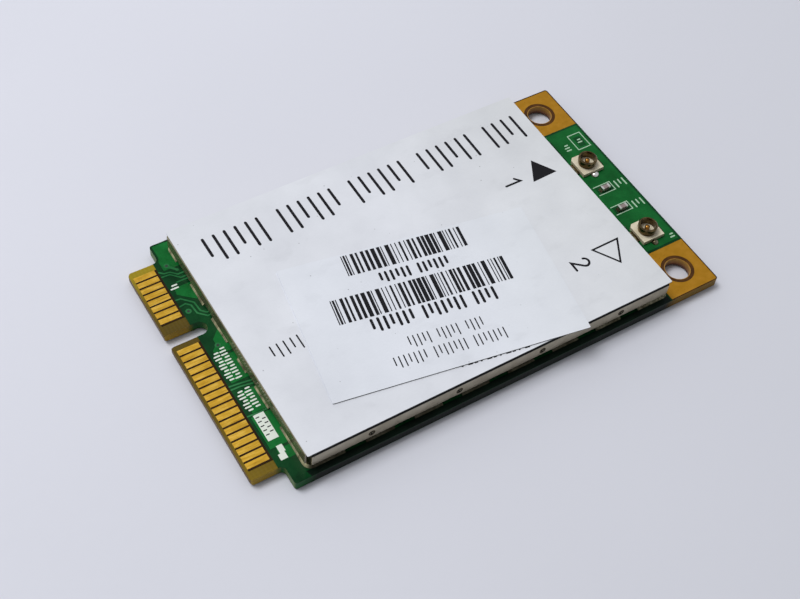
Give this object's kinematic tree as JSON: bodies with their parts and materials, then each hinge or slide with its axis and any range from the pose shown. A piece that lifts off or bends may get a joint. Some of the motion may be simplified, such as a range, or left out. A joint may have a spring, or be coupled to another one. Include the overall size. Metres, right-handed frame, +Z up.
{
  "type": "laptop wifi card",
  "caption": "Flat plug-in card for a laptop: green circuit board with a gold contact edge and key notch, a labelled metal shield can, gold-cornered mounting holes and round antenna sockets.",
  "frame": {"origin": "middle of the card's underside, at the level it lies on", "axes": "+X from the contact edge towards the mounting holes, +Y across the card towards the short contact group, +Z up through the shield can"},
  "size_m": [0.051, 0.03, 0.0033],
  "materials": {
    "laminate": "bare glass-filled board, yellow-brown",
    "solder_mask": "glossy green lacquer over copper",
    "gold_plate": "gold-plated copper",
    "tinned_steel": "tin-plated sheet, slightly mottled",
    "solder": "bright reflowed solder",
    "label_paper": "matt white label stock",
    "socket_plastic": "cream moulded plastic",
    "socket_metal": "gold-plated copper alloy",
    "chip_ceramic": "fired ceramic",
    "lead_metal": "matt tinned metal",
    "package_plastic": "black moulding compound",
    "ferrite": "dark pressed ferrite"
  },
  "bodies": {
    "root": {"circuit_board": "laminate", "solder_mask_top": "solder_mask", "solder_mask_bottom": "solder_mask", "edge_contacts_top": "gold_plate", "edge_contacts_bottom": "gold_plate", "mounting_pads_top": "gold_plate", "mounting_pads_bottom": "gold_plate", "shield_frame": "tinned_steel", "frame_solder": "solder", "shield_lid": "tinned_steel", "main_label": "label_paper", "upper_label": "label_paper", "antenna_socket_1_housing": "socket_plastic", "antenna_socket_1_shell": "socket_metal", "antenna_socket_1_pin": "socket_metal", "antenna_socket_2_housing": "socket_plastic", "antenna_socket_2_shell": "socket_metal", "antenna_socket_2_pin": "socket_metal", "socket_solder": "solder", "antenna_capacitor_bodies": "chip_ceramic", "antenna_capacitor_ends": "solder", "antenna_capacitor_solder": "solder", "radio_chip": "package_plastic", "radio_chip_terminals": "lead_metal", "power_amplifier": "package_plastic", "power_amplifier_terminals": "lead_metal", "antenna_switch": "package_plastic", "antenna_switch_terminals": "lead_metal", "crystal_base": "chip_ceramic", "crystal_lid": "lead_metal", "memory_chip_body": "package_plastic", "memory_chip_leads": "lead_metal", "regulator_body": "package_plastic", "regulator_leads": "lead_metal", "inductor_body": "ferrite", "inductor_terminals": "lead_metal", "band_filter_body": "chip_ceramic", "band_filter_ends": "lead_metal", "balun_body": "chip_ceramic", "balun_ends": "lead_metal", "inner_capacitor_bodies": "chip_ceramic", "inner_capacitor_ends": "lead_metal", "inner_resistor_bodies": "package_plastic", "inner_resistor_ends": "lead_metal"}
  },
  "joints": []
}
